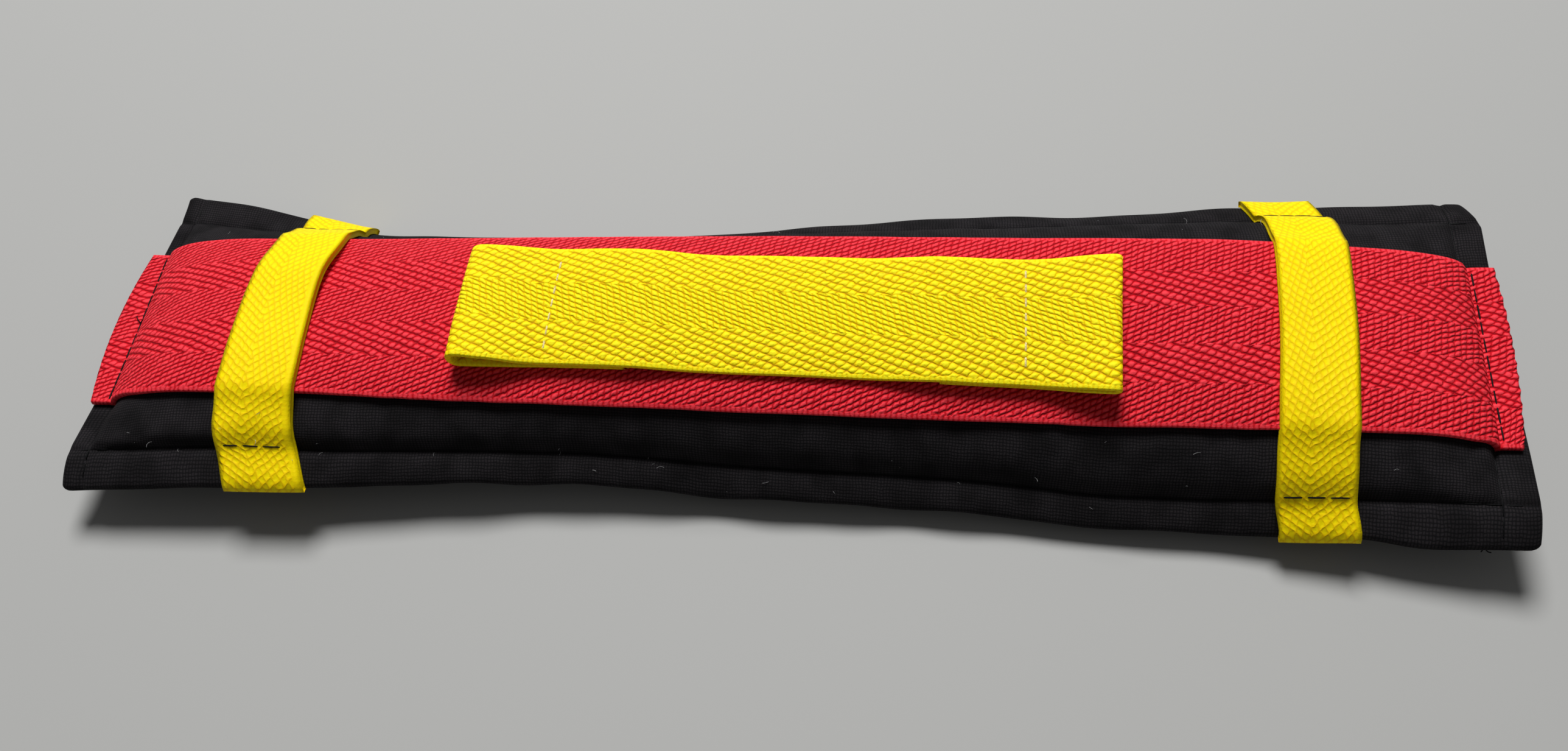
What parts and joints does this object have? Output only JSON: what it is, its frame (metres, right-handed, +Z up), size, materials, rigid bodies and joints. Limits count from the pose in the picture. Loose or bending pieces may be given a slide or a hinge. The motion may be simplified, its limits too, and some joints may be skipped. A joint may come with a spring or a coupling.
{
  "type": "seat belt neck pad",
  "caption": "Stuffed fabric pad that rides on a car seat belt, with webbing along its face, cross straps that hold the belt and a tape with a loop at each end.",
  "frame": {"origin": "under the middle of the pad, on the surface that its flat belly lies on", "axes": "+X along the pad, +Y across it, +Z up out of the face with the webbing and straps"},
  "size_m": [0.2716, 0.0753, 0.0287],
  "materials": {
    "black_cotton": "matte plain weave",
    "red_webbing": "soft herringbone weave",
    "yellow_tape": "soft herringbone weave",
    "wadding": "loose fibre"
  },
  "bodies": {
    "root": {"cover_top": "black_cotton", "cover_bottom": "black_cotton", "wadding": "wadding", "red_webbing": "red_webbing", "strap_left": "yellow_tape", "strap_right": "yellow_tape", "loop_tape": "yellow_tape"}
  },
  "joints": []
}
